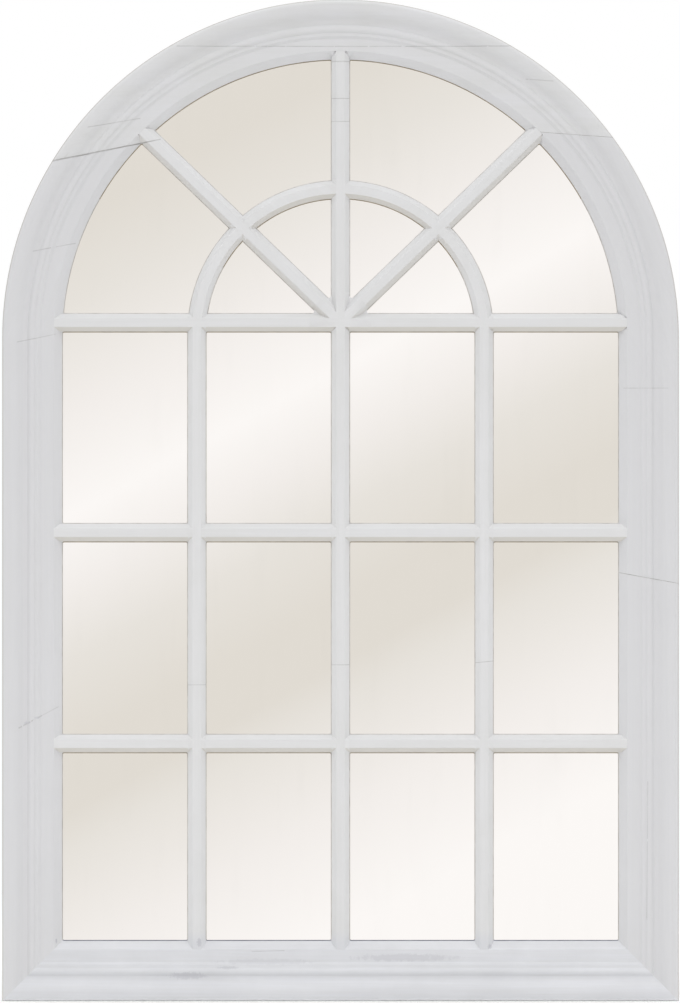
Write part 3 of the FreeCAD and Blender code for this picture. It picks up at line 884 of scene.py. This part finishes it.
def sweepHoop():
    # up the right stile, round the head and down the left stile
    section = mouldingSection()
    points = [(halfWidth - d, backPlane - t, 0) for d, t in section + section[:1]]
    hoop = drawLine("hoop", points)
    rise = (0, 0, springing)
    fall = (0, 0, -springing)
    bpy.ops.mesh.extrude_region_move(TRANSFORM_OT_translate={"value": rise})
    bpy.ops.mesh.spin(steps=moulding["archSteps"], angle=math.pi, center=rise, axis=(0, 1, 0))
    bpy.ops.mesh.extrude_region_move(TRANSFORM_OT_translate={"value": fall})
    bpy.ops.mesh.select_all(action="SELECT")
    bpy.ops.mesh.remove_doubles(threshold=1e-6)
    leaveEdit()
    settle(hoop)
    closeEnds(hoop)
    return hoop


def sweepRail():
    section = mouldingSection()
    points = [(-halfWidth, backPlane - t, d) for d, t in section + section[:1]]
    rail = drawLine("railMoulding", points)
    run = (2 * halfWidth, 0, 0)
    bpy.ops.mesh.extrude_region_move(TRANSFORM_OT_translate={"value": run})
    leaveEdit()
    settle(rail)
    closeEnds(rail)
    return rail


# Where the boards of the frame meet, from the outer edge to the sight edge
joints = {
    "leftStile": (0.405, 0.436),
    "rightStile": (0.617, 0.633),
    "leftShoulder": (-0.011, 0.0075),
    "rightShoulder": (-0.074, -0.074),
    "leftCrown": 148.4,
    "rightCrown": 36.3,
    "capDrop": 0.069,
    "clearGroove": 0.0003,    # half the width of a groove that the paint left open
    "faintGroove": 0.00012,
    "clear": ("leftCrown", "rightCrown", "rightStile"),
}
fan = {"hub": 1.0025, "angle": 44.0, "barWidth": 0.026, "land": 0.001, "ring": 0.2125,
       "ringCentre": 0.987}
sightX = halfWidth - moulding["sight"]


def onCircle(degrees):
    angle = math.radians(degrees)
    return halfWidth * math.cos(angle), springing + halfWidth * math.sin(angle)


def spokeCorner(side, offset):
    # where a line beside a slanting spoke meets the sight edge
    slope = math.radians(fan["angle"])
    start = (-math.sin(slope) * offset, fan["hub"] - springing + math.cos(slope) * offset)
    run = start[0] * math.cos(slope) + start[1] * math.sin(slope)
    reach = math.sqrt(run ** 2 - start[0] ** 2 - start[1] ** 2 + sightX ** 2) - run
    return (side * (start[0] + reach * math.cos(slope)),
            springing + start[1] + reach * math.sin(slope))


def acrossStile(side, heights, above=0.0):
    return (side * halfWidth, above + heights[0]), (side * sightX, above + heights[1])


capHeight = topHeight - joints["capDrop"]
seams = {
    "leftMitre": ((-halfWidth, 0), (-sightX, moulding["sight"])),
    "rightMitre": ((halfWidth, 0), (sightX, moulding["sight"])),
    "leftStile": acrossStile(-1, joints["leftStile"]),
    "rightStile": acrossStile(1, joints["rightStile"]),
    "leftShoulder": acrossStile(-1, joints["leftShoulder"], springing),
    "rightShoulder": acrossStile(1, joints["rightShoulder"], springing),
    "leftCrown": (onCircle(joints["leftCrown"]), spokeCorner(-1, -fan["barWidth"] / 2)),
    "rightCrown": (onCircle(joints["rightCrown"]),
                   spokeCorner(1, fan["barWidth"] / 2 - fan["land"])),
    "cap": ((-halfWidth, capHeight), (halfWidth, capHeight)),
}
overrun = {"outward": 0.15, "inward": 0.06, "wide": 1.0, "high": 0.2}


def runPast(seam, outward=overrun["outward"]):
    outer, inner = Vector(seam[0]), Vector(seam[1])
    way = (inner - outer).normalized()
    return tuple(outer - way * outward), tuple(inner + way * overrun["inward"])


def betweenSeams(first, second, extra=()):
    a, b = runPast(seams[first])
    c, d = runPast(seams[second])
    return [a, b, d, c, *extra]


def aboveMitre(mitre, second):
    # the outer corner stays at the foot of the frame, so the mitre isn't run past it
    corner, inner = runPast(seams[mitre], 0)
    c, d = runPast(seams[second])
    return [(c[0], corner[1]), corner, inner, d, c]


def boardRegions():
    wide, high = overrun["wide"], topHeight + overrun["high"]
    low = -overrun["inward"]
    capCorners = ((wide, capHeight), (-wide, capHeight))
    return {
        "left_stile_lower": aboveMitre("leftMitre", "leftStile"),
        "left_stile_upper": betweenSeams("leftStile", "leftShoulder"),
        "left_haunch": betweenSeams("leftShoulder", "leftCrown"),
        "crown": betweenSeams("leftCrown", "rightCrown", capCorners),
        "crown_cap": [(-wide, capHeight), (wide, capHeight), (wide, high), (-wide, high)],
        "right_haunch": betweenSeams("rightCrown", "rightShoulder"),
        "right_stile_upper": betweenSeams("rightShoulder", "rightStile"),
        "right_stile_lower": aboveMitre("rightMitre", "rightStile"),
        "bottom_rail": [(-halfWidth, 0), (-halfWidth, low), (halfWidth, low), (halfWidth, 0),
                        seams["rightMitre"][1], seams["leftMitre"][1]],
    }


boardFinish = {
    "left_haunch": ("leftHaunchPaint", uprightBack),
    "right_haunch": ("rightHaunchPaint", uprightBack),
    "crown": ("levelPaint", levelBack),
    "crown_cap": ("levelPaint", levelBack),
    "bottom_rail": ("railPaint", levelBack),
}


def liesOnSeam(ends, name):
    outer, inner = Vector(seams[name][0]), Vector(seams[name][1])
    way = (inner - outer).normalized()
    offs = [Vector((end.x, end.z)) - outer for end in ends]
    return all(abs(off.x * way.y - off.y * way.x) < 5e-6 for off in offs)


def openGrooves(board):
    # a fine groove where boards meet, on the front and round the outer edge only
    rebate = backPlane - moulding["boardRebate"][1]

    def along(names):
        def chosen(ends, normals):
            if any(end.y > rebate for end in ends):
                return False
            return any(liesOnSeam(ends, name) for name in names)
        return chosen

    clear = joints["clear"]
    faint = [name for name in seams if name not in clear and not name.endswith("Mitre")]
    bevelEdges(board, along(clear), joints["clearGroove"], 1, 1)
    bevelEdges(board, along(faint), joints["faintGroove"], 1, 0)


def buildBoards():
    hoop, rail = sweepHoop(), sweepRail()
    boards = {}
    for node, corners in boardRegions().items():
        source = rail if node == "bottom_rail" else hoop
        board = copyOf(source, pieceName(node, "Board"))
        block = drawBlock("region", corners, -0.01, 0.05)
        cutWith(board, block, "INTERSECT")
        discard(block)
        front, back = boardFinish.get(node, ("uprightPaint", uprightBack))
        for finish in (paintOf[front], crackedPaint, back):
            board.data.materials.append(finish)
        openGrooves(board)
        boards[node] = board
    discard(hoop, rail)
    return boards


boards = buildBoards()
print("boards sawn")


# Glazing bars, taken from the frame as they are and eased along their arrises
bars = {
    "arris": 0.0009,
    "footArris": 0.0005,
    "frontDepth": 0.022,
    "footDepth": 0.015,
    "columns": (-0.2125, 0.0, 0.2125),
    "rows": (0.380, 0.692, 1.0025),
    "crossing": 0.0136,       # no arris is eased this near the middle of a crossing
    "hubReach": 0.046,
}
barFinish = {
    "vertical_bar_left": "uprightBarPaint",
    "vertical_bar_centre": "uprightBarPaint",
    "vertical_bar_right": "uprightBarPaint",
    "mid_bar_lower": "levelBarPaint",
    "mid_bar_upper": "levelBarPaint",
    "transom_bar": "levelBarPaint",
    "fan_spoke_centre": "uprightBarPaint",
    "fan_spoke_right": "risingBarPaint",
    "fan_ring_1": "uprightBarPaint",
    "fan_ring_2": "fallingBarPaint",
    "fan_ring_3": "risingBarPaint",
    "fan_ring_4": "uprightBarPaint",
}


def buildBars():
    built = {}
    for node, finish in barFinish.items():
        bar = copyOfNode(node, pieceName(node))
        bar.data.materials.append(paintOf[finish])
        built[node] = bar
    # the left spoke mirrors the right one, and reaches into the crown board
    left = copyOf(built["fan_spoke_right"], "fanSpokeLeft")
    startEdit(left)
    bpy.ops.transform.resize(value=(-1, 1, 1), center_override=(0, 0, 0))
    bpy.ops.mesh.normals_make_consistent(inside=False)
    leaveEdit()
    left.data.materials.clear()
    left.data.materials.append(paintOf["fallingBarPaint"])
    built["fan_spoke_left"] = left
    return built


def meetings():
    # (x, z, reach) of each place where bars cross
    reach = bars["crossing"]
    grid = [(x, z, reach) for x in bars["columns"] for z in bars["rows"]]
    slopes = [math.radians(a) for a in (fan["angle"], 90, 180 - fan["angle"])]
    rings = []
    for slope in slopes:
        rise = fan["hub"] - fan["ringCentre"]
        along = math.sqrt(fan["ring"] ** 2 - (rise * math.cos(slope)) ** 2) - rise * math.sin(slope)
        rings.append((along * math.cos(slope), fan["hub"] + along * math.sin(slope), reach * 1.15))
    return grid + rings + [(0, fan["hub"], bars["hubReach"])]


def splitAt(piece, place, normal):
    startEdit(piece)
    bpy.ops.mesh.bisect(plane_co=place, plane_no=normal)
    leaveEdit()


def splitBars(built):
    for node, bar in built.items():
        low, high = (Vector(corner) for corner in (bar.bound_box[0], bar.bound_box[6]))
        for x, z, reach in meetings():
            if not (low.x - reach < x < high.x + reach and low.z - reach < z < high.z + reach):
                continue
            if node.startswith(("vertical", "fan_spoke_centre")):
                ways = [Vector((0, 0, 1))]
            elif node.startswith(("mid", "transom")):
                ways = [Vector((1, 0, 0))]
            elif node.startswith("fan_spoke"):
                slope = math.radians(fan["angle"])
                side = 1 if node.endswith("right") else -1
                ways = [Vector((side * math.cos(slope), 0, math.sin(slope)))]
            else:
                continue
            for way in ways:
                for side in (-1, 1):
                    splitAt(bar, Vector((x, 0, z)) + way * side * reach, way)


def easeBar(bar):
    frontY = backPlane - bars["frontDepth"]
    footY = backPlane - bars["footDepth"]
    places = meetings()

    def clear(ends):
        middle = (ends[0] + ends[1]) / 2
        return all(math.hypot(middle.x - x, middle.z - z) > reach * 0.98 or reach == 0
                   for x, z, reach in places)

    def along(y, turns):
        def chosen(ends, normals):
            level = all(abs(end.y - y) < 2e-5 for end in ends)
            facing = sorted(abs(normal.y) for normal in normals)
            matched = all(abs(a - b) < 0.03 for a, b in zip(facing, turns))
            return level and matched and clear(ends)
        return chosen

    bevelEdges(bar, along(frontY, (0.71, 1.0)), bars["arris"], 3, clamp=True)
    bevelEdges(bar, along(footY, (0.0, 0.71)), bars["footArris"], 2, clamp=True)


builtBars = buildBars()


# Panes: the space between the bars, where the mirror shows
panes = {
    "rounding": 0.003,
    "backing": 0.6,           # of the rounding, how far the paint reaches back
    "sharpTurn": 25,          # degrees between two sides that make a corner
    "fanReach": 0.03,
    "hubRadius": 0.0045,
    "tuck": 0.001,
    "least": 0.05,
    "lineWidth": 0.0014,
    "shortest": 0.0007,       # a shorter side of a pane would throw its line out of place
    "slitTurn": 160,
    "lineRise": 0.00015,
}


def openingOutline():
    head = arcPoints((0, springing), sightX, 0, 180, moulding["archSteps"])
    return [(-sightX, moulding["sight"]), (sightX, moulding["sight"]), *head]


def cornerTurn(ends, normals):
    upright = abs(ends[0].y - ends[1].y) > 1e-4
    level = all(abs(normal.y) < 0.01 for normal in normals)
    return math.degrees(normals[0].angle(normals[1])) if upright and level else 0


def largeIslands(piece, least):
    # what the cuts left behind in the joints of the bars is thrown away
    name = piece.name
    makeActive(piece)
    bpy.ops.object.mode_set(mode="EDIT")
    bpy.ops.mesh.separate(type="LOOSE")
    leaveEdit()
    parts = list(bpy.context.selected_objects)
    kept = [part for part in parts if max(part.dimensions) > least]
    discard(*[part for part in parts if part not in kept])
    return joined(name, kept)


def farFromFan(ends):
    middle = (ends[0] + ends[1]) / 2
    reach = math.hypot(middle.x, middle.z - fan["hub"])
    return middle.z < fan["hub"] or reach > fan["ring"] + panes["fanReach"]


def buildPanes():
    # blocks the size of the panes, rounded where paint has filled their corners
    shape = drawBlock("paneShapes", openingOutline(), glassDepth, glassDepth + moulding["foot"])
    for bar in builtBars.values():
        cutWith(shape, bar, "DIFFERENCE")
    shape = largeIslands(shape, panes["least"])
    shape.data.materials.clear()
    for finish in (silvered, paintOf["levelBarPaint"]):
        shape.data.materials.append(finish)
    bevelEdges(shape, lambda e, n: cornerTurn(e, n) > panes["sharpTurn"] and farFromFan(e),
               panes["rounding"], 5, 1)
    return shape


def hubFillets():
    # the acute corners where the spokes meet, filled with paint
    turns = (0, fan["angle"], 90, 180 - fan["angle"], 180)
    half, radius = fan["barWidth"] / 2, panes["hubRadius"]
    blocks = []
    for first, second in zip(turns, turns[1:]):
        middle, spread = (first + second) / 2, math.radians(second - first) / 2
        way = Vector((math.cos(math.radians(middle)), math.sin(math.radians(middle))))
        hub = Vector((0, fan["hub"]))
        centre = hub + way * (half + radius) / math.sin(spread)
        sweep = math.degrees(math.pi / 2 - spread)
        arc = arcPoints(centre, radius, middle + 180 - sweep, middle + 180 + sweep, 6)
        inner = hub + way * (half - panes["tuck"]) / math.sin(spread)
        side = Vector((-way.y, way.x)) * panes["tuck"]
        low, high = Vector(arc[0]), Vector(arc[-1])
        corners = [tuple(inner), tuple(low + side), *arc, tuple(high - side)]
        blocks.append(drawBlock("hubFillet", corners, glassDepth, bars["footDepth"]))
    return blocks


def buildFillets(shape):
    # the paint in the corners: the rounded sides, thickened back into the bars
    fillets = copyOf(shape, "paneFillets")
    selectFaces(fillets, lambda face: face.material_index != 1)
    bpy.ops.object.mode_set(mode="EDIT")
    bpy.ops.mesh.delete(type="FACE")
    bpy.ops.mesh.select_all(action="SELECT")
    bpy.ops.mesh.extrude_region_shrink_fatten(
        TRANSFORM_OT_shrink_fatten={"value": panes["rounding"] * panes["backing"]})
    bpy.ops.mesh.select_all(action="SELECT")
    bpy.ops.mesh.normals_make_consistent(inside=False)
    leaveEdit()
    fillets = joined("paneFillets", [fillets, *hubFillets()])
    fillets.data.materials.clear()
    fillets.data.materials.append(paintOf["levelBarPaint"])
    return fillets


def slitTips(mesh):
    # where the outline of a pane doubles back on itself, in the joint of two bars
    tips = set()
    for face in mesh.polygons:
        ring = list(face.vertices)
        for before, here, after in zip(ring[-1:] + ring[:-1], ring, ring[1:] + ring[:1]):
            a, b, c = (mesh.vertices[i].co for i in (before, here, after))
            if math.degrees((b - a).angle(c - b)) > panes["slitTurn"]:
                tips.add(here)
    return tips


def tidyOutlines(piece):
    mesh = piece.data
    tips = slitTips(mesh)
    startEdit(piece, "VERT", "DESELECT")
    leaveEdit()
    for vertex in mesh.vertices:
        vertex.select = vertex.index in tips
    bpy.ops.object.mode_set(mode="EDIT")
    bpy.ops.mesh.dissolve_verts()
    bpy.ops.mesh.select_all(action="SELECT")
    bpy.ops.mesh.remove_doubles(threshold=panes["shortest"])
    leaveEdit()


def buildSeatShadeLines(rounded):
    lines = copyOf(rounded, "seatShadeLines")
    lines.data.materials.clear()
    for side in ("under", "over", "beside", "sill"):
        lines.data.materials.append(seatShadeLines[side])
    selectFaces(lines, lambda face: face.normal.y > -0.9)
    bpy.ops.object.mode_set(mode="EDIT")
    bpy.ops.mesh.delete(type="FACE")
    leaveEdit()
    tidyOutlines(lines)
    startEdit(lines, "FACE")
    bpy.ops.mesh.inset(thickness=panes["lineWidth"], depth=0, use_boundary=True)
    leaveEdit()
    mesh = lines.data
    inner = {i for face in mesh.polygons if face.select for i in face.vertices}
    for face in mesh.polygons:
        if face.select:
            continue
        near = [mesh.vertices[i].co for i in face.vertices if i in inner]
        far = [mesh.vertices[i].co for i in face.vertices if i not in inner]
        if not near or not far:
            continue
        way = sum(near, Vector()) / len(near) - sum(far, Vector()) / len(far)
        steep = way.normalized().z
        onSill = sum(v.z for v in far) / len(far) < moulding["sight"] + panes["lineWidth"]
        # each strip's tone by its side of the pane: darker under a bar as painted shade, paler over and
        # beside one, darkest along the sill
        face.material_index = 0 if steep < -0.5 else 2 if steep < 0.5 else 3 if onSill else 1
    bpy.ops.object.mode_set(mode="EDIT")
    bpy.ops.mesh.delete(type="FACE")
    bpy.ops.mesh.select_all(action="SELECT")
    rise = (0, -panes["lineRise"], 0)
    bpy.ops.mesh.extrude_region_move(TRANSFORM_OT_translate={"value": rise})
    bpy.ops.mesh.select_all(action="SELECT")
    drop = (0, moulding["foot"], 0)
    bpy.ops.transform.translate(value=drop)
    bpy.ops.mesh.normals_make_consistent(inside=False)
    leaveEdit()
    return lines


barCutter = joined("barCutter", [copyOf(bar, "cutter") for bar in builtBars.values()])
for node, board in boards.items():
    if node != "crown_cap":
        cutWith(board, barCutter, "DIFFERENCE")
        startEdit(board)
        bpy.ops.mesh.remove_doubles(threshold=2e-5)
        leaveEdit()
discard(barCutter)
paneShapes = buildPanes()
fillets = buildFillets(paneShapes)
lines = buildSeatShadeLines(paneShapes)
discard(paneShapes)
print("panes cut")

splitBars(builtBars)
for node, bar in builtBars.items():
    easeBar(bar)
    finishShading(bar)
    stand(bar, node)
for node, board in boards.items():
    paintFaces(board, 2, lambda face: face.normal.y > 0.9)
    finishShading(board)
    stand(board, node)
for piece in (fillets, lines):
    stand(piece, None)
print("bars eased")


# The mirror sheet and what holds it from behind
def buildMirror():
    sheet = copyOfNode("mirror_sheet", "mirrorSheet")
    sheet.data.materials.append(silvered)
    sheet.data.materials.append(backingPaint)
    paintFaces(sheet, 1, lambda face: face.normal.y > -0.9)
    stand(sheet, "mirror_sheet")


buildMirror()

nodeFinish = {
    "back_board": hardboard,
    "wall_bumpers": rubber,
    "frame_dowels": dowelTimber,
}
for name, node in nodes.items():
    node.data.materials.clear()
    node.data.materials.append(nodeFinish.get(name, zinc))
print("back dressed")


# Studio
studio = {
    "ambient": 0.745,
    "fromAbove": 0.55,
    "fromBehind": 0.22,
    "skyColour": (0.995, 0.996, 1.0, 1),
    "floorRadius": 4.0,
    "floorFade": (2.0, 3.9),
    "screenRadius": 9.0,
    "screenHeight": 24.0,
    "screenReflectance": 0.95,
}


def seenDirectly(tree):
    # what the camera sees, straight or in a mirror or through glass
    path = addNode(tree, "LightPath")
    glossy = calculate(tree, "MAXIMUM", path.outputs["Is Camera Ray"], path.outputs["Is Glossy Ray"])
    return calculate(tree, "MAXIMUM", glossy, path.outputs["Is Transmission Ray"])


def buildWorld():
    world = bpy.data.worlds.new("studioSky")
    scene.world = world
    world.use_nodes = True
    tree = world.node_tree
    tree.nodes.clear()
    aim = addNode(tree, "VectorMath", operation="DOT_PRODUCT")
    feed(tree, aim.inputs[0], addNode(tree, "TexCoord").outputs["Generated"])
    aim.inputs[1].default_value = (0, studio["fromBehind"], studio["fromAbove"])
    strength = calculate(tree, "ADD", aim.outputs["Value"], studio["ambient"])
    lit = addNode(tree, "Background", {"Color": studio["skyColour"], "Strength": strength})
    white = addNode(tree, "Background", {"Color": (1, 1, 1, 1), "Strength": 1.0})
    mix = addNode(tree, "MixShader", {0: seenDirectly(tree), 1: lit.outputs[0], 2: white.outputs[0]})
    addNode(tree, "OutputWorld", {"Surface": mix.outputs[0]})


def addLamp(name, place, target, size, watts, tint):
    data = bpy.data.lights.new(name, "AREA")
    data.shape = "RECTANGLE"
    data.size, data.size_y = size
    data.energy = watts
    data.color = tint
    lamp = bpy.data.objects.new(name, data)
    scene.collection.objects.link(lamp)
    lamp.location = place
    way = Vector(target) - Vector(place)
    lamp.rotation_euler = way.to_track_quat("-Z", "Y").to_euler()
    lamp.visible_glossy = False
    lamp.visible_camera = False


def addFloor():
    deselectAll()
    bpy.ops.mesh.primitive_circle_add(vertices=96, radius=studio["floorRadius"], fill_type="NGON",
                                      location=(0, 0, 0))
    floor = bpy.context.active_object
    floor.name = "floor"
    material, tree, shader = newMaterial("paleFloor")
    place = objectPlace(tree)
    clouds = remap(tree, noise(tree, place, 3.0, 3.0), 0.3, 0.7)
    feed(tree, shader.inputs["Base Color"], blendColours(tree, clouds, colour(243, 243, 242),
                                                         colour(247, 247, 247)))
    feed(tree, shader.inputs["Roughness"], remap(tree, clouds, 0.0, 1.0, 0.85, 0.95))
    # the rim fades to the white of the backdrop
    reach = addNode(tree, "VectorMath", operation="LENGTH")
    feed(tree, reach.inputs[0], place)
    near, far = studio["floorFade"]
    rim = remap(tree, reach.outputs["Value"], near, far, kind="SMOOTHSTEP")
    white = addNode(tree, "Emission", {"Color": (1, 1, 1, 1), "Strength": 1.0})
    share = calculate(tree, "MULTIPLY", rim, seenDirectly(tree))
    mix = addNode(tree, "MixShader", {0: share, 1: shader.outputs[0], 2: white.outputs[0]})
    tree.links.new(mix.outputs[0], tree.nodes["Material Output"].inputs["Surface"])
    floor.data.materials.append(material)
    floor.visible_glossy = False


# A pale screen round the studio, seen only in the mirror: soft bands of light that slope
bands = {
    "slope": 0.55,
    "start": 190,             # measured in the photograph's pixels, down the left edge
    "end": 1260,
    "tones": {
        "bright": colour(251, 248, 246),
        "pale": colour(242, 238, 235),
        "grey": colour(230, 226, 220),
        "deep": colour(224, 219, 211),
    },
    "order": (("deep", 190), ("deep", 260), ("grey", 345), ("pale", 455), ("bright", 555),
              ("pale", 625), ("grey", 700), ("deep", 785), ("deep", 850), ("grey", 890),
              ("pale", 1000), ("bright", 1120), ("bright", 1260)),
}


def addScreen():
    deselectAll()
    bpy.ops.mesh.primitive_cylinder_add(vertices=128, radius=studio["screenRadius"],
                                        depth=studio["screenHeight"], end_fill_type="NOTHING",
                                        location=(0, 0, topHeight / 2))
    screen = bpy.context.active_object
    screen.name = "studioScreen"
    settle(screen)
    material, tree, shader = newMaterial("studioScreen")
    tree.nodes.remove(shader)
    mirrorDistance = camera["distance"] - cadBox[0].y + (backPlane - glassDepth) + 2 * cadBox[0].y
    spread = (mirrorDistance + studio["screenRadius"]) / mirrorDistance
    step = metresPerPixel * spread          # one pixel of the picture, out on the screen
    x, z = fromPixel(photo["wide"] / 2, photo["high"] / 2)
    middle = photo["high"] / 2 + bands["slope"] * photo["wide"] / 2
    start, end = bands["start"], bands["end"]
    aim = addNode(tree, "VectorMath", operation="DOT_PRODUCT")
    feed(tree, aim.inputs[0], objectPlace(tree))
    aim.inputs[1].default_value = (bands["slope"] / step, 0, -1 / step)
    down = calculate(tree, "ADD", aim.outputs["Value"], middle + z / step)
    share = calculate(tree, "DIVIDE", calculate(tree, "SUBTRACT", down, start), end - start)
    folded = calculate(tree, "PINGPONG", share, 1.0)
    ramp = addNode(tree, "ValToRGB", {"Fac": folded})
    stops = ramp.color_ramp.elements
    stops.remove(stops[-1])
    for i, (tone, at) in enumerate(bands["order"]):
        stop = stops[0] if i == 0 else stops.new((at - start) / (end - start))
        stop.position = (at - start) / (end - start)
        stop.color = bands["tones"][tone]
    glow = addNode(tree, "Emission", {"Color": ramp.outputs["Color"],
                                      "Strength": 1 / studio["screenReflectance"]})
    tree.links.new(glow.outputs[0], tree.nodes["Material Output"].inputs["Surface"])
    screen.data.materials.append(material)
    screen.visible_camera = False
    screen.visible_diffuse = False
    screen.visible_shadow = False


buildWorld()
addLamp("topLamp", (0, -3.0, 5.2), (0, 0, 0.8), (5.0, 3.0), 60, (0.995, 0.997, 1.0))
addFloor()
addScreen()
scene.view_settings.view_transform = "Standard"
print("studio lit")
